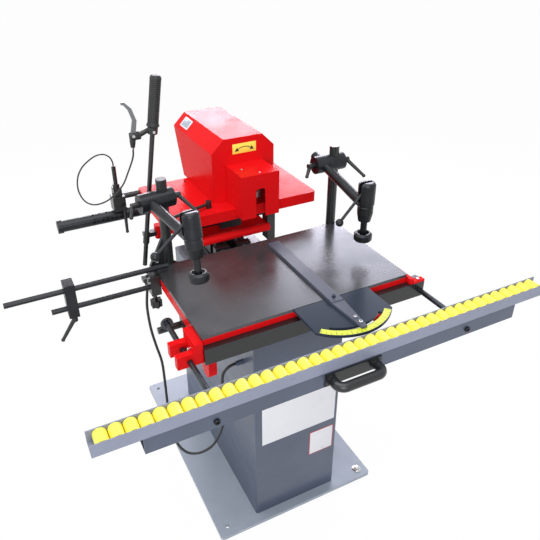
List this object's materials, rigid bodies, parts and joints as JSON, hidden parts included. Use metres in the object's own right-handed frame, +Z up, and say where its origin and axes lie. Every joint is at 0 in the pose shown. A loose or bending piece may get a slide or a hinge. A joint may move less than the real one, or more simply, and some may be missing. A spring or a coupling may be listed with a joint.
{
  "type": "horizontal slot mortiser",
  "caption": "Floor-standing horizontal slot mortiser: red boring head on a two-way slide, lifting table with cam clamps, mitre fence, length stop and roller support.",
  "frame": {"origin": "centre of the base plate's underside, on the floor", "axes": "+X along the table to the operator's right, +Y from the operator to the boring head, +Z up"},
  "size_m": [1.414, 1.186, 1.4436],
  "materials": {
    "red_paint": "glossy red enamel",
    "black_paint": "satin black",
    "black_oxide": "blackened steel",
    "ground_steel": "ground, slightly oiled",
    "bright_steel": "bright polished",
    "stand_paint": "blue-grey enamel",
    "base_paint": "light grey enamel",
    "dark_paint": "dark grey enamel",
    "rail_coat": "zinc grey with a lilac cast",
    "roller_plastic": "bright yellow",
    "rubber": "ribbed black rubber",
    "cable_jacket": "smooth black jacket",
    "black_plastic": "fine-grained black"
  },
  "bodies": {
    "stand": {"base_plate": "base_paint", "cabinet": "stand_paint", "head_column": "black_paint", "y_guide_rods": "bright_steel", "elevating_sleeve": "dark_paint", "power_cable": "cable_jacket"},
    "handwheel": {"handwheel": "black_plastic"},
    "table": {"elevating_ram": "ground_steel", "table_top": "ground_steel", "table_frame": "red_paint", "front_beam": "black_paint", "rod_clamps": "red_paint", "clamp_posts": "black_paint", "stop_brackets": "black_paint", "fence_sector": "dark_paint"},
    "stop_knob": {"stop_knob": "black_plastic"},
    "stop_bar": {"stop_bar": "black_oxide"},
    "stop_block": {"stop_block": "black_oxide"},
    "stop_block_lever": {"stop_block_lever": "black_plastic"},
    "stop_rod": {"stop_rod": "black_oxide"},
    "mitre_fence": {"mitre_fence": "dark_paint"},
    "roller_support": {"support_rods": "black_oxide", "roller_rail": "rail_coat", "support_tube": "stand_paint", "rollers": "roller_plastic", "bow_handle": "black_paint"},
    "cross_slide": {"cross_slide": "red_paint", "shaft_brackets": "black_paint", "x_guide_rods": "black_oxide"},
    "index_bar": {"index_bar": "black_oxide"},
    "head": {"head_tray": "red_paint", "x_bush_blocks": "black_paint", "motor_hood": "red_paint", "chuck_guard": "red_paint", "motor": "dark_paint", "index_block": "black_paint", "hand_lever": "black_paint", "grip": "rubber", "brake_mount": "black_paint", "brake_cable": "cable_jacket"},
    "chuck": {"chuck": "bright_steel"},
    "index_plunger": {"index_plunger": "bright_steel"},
    "index_lever": {"index_lever": "black_plastic"},
    "slide_lock": {"slide_lock_lever": "black_plastic"},
    "brake_blade": {"brake_blade": "bright_steel"},
    "left_collar": {"left_collar": "black_oxide"},
    "left_collar_lever": {"left_collar_lever": "black_plastic"},
    "left_arm_boss": {"left_arm_boss": "black_oxide"},
    "left_boss_lever": {"left_boss_lever": "black_plastic"},
    "left_arm": {"left_arm": "black_oxide"},
    "left_cam_lever": {"left_cam_lever": "black_plastic"},
    "left_plunger": {"left_plunger": "black_oxide"},
    "right_collar": {"right_collar": "black_oxide"},
    "right_collar_lever": {"right_collar_lever": "black_plastic"},
    "right_arm_boss": {"right_arm_boss": "black_oxide"},
    "right_boss_lever": {"right_boss_lever": "black_plastic"},
    "right_arm": {"right_arm": "black_oxide"},
    "right_cam_lever": {"right_cam_lever": "black_plastic"},
    "right_plunger": {"right_plunger": "black_oxide"}
  },
  "joints": [
    {"name": "table_lift", "type": "slide", "parent": "stand", "child": "table", "axis": [0, 0, 1], "range_m": [-0.02, 0.09]},
    {"name": "handwheel_turn", "type": "hinge", "parent": "stand", "child": "handwheel", "pos_m": [0.16, -0.178, 0.53], "axis": [1, 0, 0], "range_deg": [-260, 60]},
    {"name": "support_draw", "type": "slide", "parent": "table", "child": "roller_support", "axis": [0, 1, 0], "range_m": [-0.09, 0]},
    {"name": "fence_swing", "type": "hinge", "parent": "table", "child": "mitre_fence", "pos_m": [0.062, -0.442, 0.89], "axis": [0, 0, 1], "range_deg": [-45, 45]},
    {"name": "stop_lock_turn", "type": "hinge", "parent": "table", "child": "stop_knob", "pos_m": [-0.3455, -0.082, 0.8], "axis": [0, 0, 1], "range_deg": [-180, 180]},
    {"name": "stop_bar_draw", "type": "slide", "parent": "table", "child": "stop_bar", "axis": [1, 0, 0], "range_m": [-0.09, 0.05]},
    {"name": "stop_block_move", "type": "slide", "parent": "stop_bar", "child": "stop_block", "axis": [1, 0, 0], "range_m": [-0.03, 0.15]},
    {"name": "stop_block_lock", "type": "hinge", "parent": "stop_block", "child": "stop_block_lever", "pos_m": [-0.592, -0.082, 0.81], "axis": [0, 0, 1], "range_deg": [-60, 60]},
    {"name": "stop_rod_move", "type": "slide", "parent": "stop_block", "child": "stop_rod", "axis": [1, 0, 0], "range_m": [-0.1, 0.15]},
    {"name": "left_clamp_height", "type": "slide", "parent": "table", "child": "left_collar", "axis": [0, 0, 1], "range_m": [-0.03, 0.02]},
    {"name": "left_collar_lock", "type": "hinge", "parent": "left_collar", "child": "left_collar_lever", "pos_m": [-0.23037, -0.02891, 1.103], "axis": [0.9925, 0.1219, 0], "range_deg": [-25, 25]},
    {"name": "left_clamp_tilt", "type": "hinge", "parent": "left_collar", "child": "left_arm_boss", "pos_m": [-0.32963, -0.04109, 1.103], "axis": [0.9925, 0.1219, 0], "range_deg": [-8, 10]},
    {"name": "left_boss_lock", "type": "hinge", "parent": "left_arm_boss", "child": "left_boss_lever", "pos_m": [-0.36933, -0.04597, 1.103], "axis": [0.9925, 0.1219, 0], "range_deg": [-25, 25]},
    {"name": "left_clamp_reach", "type": "slide", "parent": "left_arm_boss", "child": "left_arm", "axis": [0.1218, -0.9921, -0.0301], "range_m": [-0.014, 0]},
    {"name": "left_cam_turn", "type": "hinge", "parent": "left_arm", "child": "left_cam_lever", "pos_m": [-0.29009, -0.29742, 1.15887], "axis": [-0.12, 0.9775, -0.1736], "range_deg": [0, 92]},
    {"name": "left_plunger_press", "type": "slide", "parent": "left_arm", "child": "left_plunger", "axis": [-0.0212, 0.1724, 0.9848], "range_m": [0, 0.006]},
    {"name": "right_clamp_height", "type": "slide", "parent": "table", "child": "right_collar", "axis": [0, 0, 1], "range_m": [-0.02, 0.02]},
    {"name": "right_collar_lock", "type": "hinge", "parent": "right_collar", "child": "right_collar_lever", "pos_m": [0.364, -0.035, 1.109], "axis": [1, 0, 0], "range_deg": [-25, 25]},
    {"name": "right_clamp_tilt", "type": "hinge", "parent": "right_collar", "child": "right_arm_boss", "pos_m": [0.264, -0.035, 1.109], "axis": [1, 0, 0], "range_deg": [-20, 2]},
    {"name": "right_boss_lock", "type": "hinge", "parent": "right_arm_boss", "child": "right_boss_lever", "pos_m": [0.224, -0.035, 1.109], "axis": [1, 0, 0], "range_deg": [-25, 25]},
    {"name": "right_clamp_reach", "type": "slide", "parent": "right_arm_boss", "child": "right_arm", "axis": [0, -0.9751, -0.2216], "range_m": [0, 0.014]},
    {"name": "right_cam_turn", "type": "hinge", "parent": "right_arm", "child": "right_cam_lever", "pos_m": [0.272, -0.277, 1.119], "axis": [0, 1, 0], "range_deg": [0, 92]},
    {"name": "right_plunger_press", "type": "slide", "parent": "right_arm", "child": "right_plunger", "axis": [0, 0, 1], "range_m": [0, 0.006]},
    {"name": "cross_travel", "type": "slide", "parent": "stand", "child": "cross_slide", "axis": [0, 1, 0], "range_m": [0, 0.13]},
    {"name": "head_travel", "type": "slide", "parent": "cross_slide", "child": "head", "axis": [1, 0, 0], "range_m": [-0.096, 0.096]},
    {"name": "index_turn", "type": "hinge", "parent": "cross_slide", "child": "index_bar", "pos_m": [-0.3, 0.355, 0.893], "axis": [1, 0, 0], "range_deg": [-180, 180]},
    {"name": "chuck_spin", "type": "hinge", "parent": "head", "child": "chuck", "pos_m": [0.054, 0.05, 1.043], "axis": [0, 1, 0], "continuous": true},
    {"name": "index_lock", "type": "hinge", "parent": "head", "child": "index_lever", "pos_m": [-0.318, 0.32, 0.93], "axis": [0, 1, 0], "range_deg": [-40, 40]},
    {"name": "slide_lock_turn", "type": "hinge", "parent": "head", "child": "slide_lock", "pos_m": [-0.088, 0.092, 0.977], "axis": [0, 0, 1], "range_deg": [-35, 0]},
    {"name": "brake_squeeze", "type": "hinge", "parent": "head", "child": "brake_blade", "pos_m": [-0.329, 0.03, 1.282], "axis": [0, 1, 0], "range_deg": [0, 20], "stiffness_Nm_per_rad": 0.6, "springref_deg": -17.19},
    {"name": "index_drop", "type": "slide", "parent": "head", "child": "index_plunger", "axis": [0, 0, 1], "range_m": [-0.0072, 0]}
  ],
  "couplings": [
    {"joint": "handwheel_turn", "follows": "table_lift", "rad_per_m": -50},
    {"joint": "left_cam_turn", "follows": "left_plunger_press", "rad_per_m": 261.8},
    {"joint": "right_cam_turn", "follows": "right_plunger_press", "rad_per_m": 261.8},
    {"joint": "index_drop", "follows": "brake_squeeze", "m_per_rad": -0.020054}
  ]
}
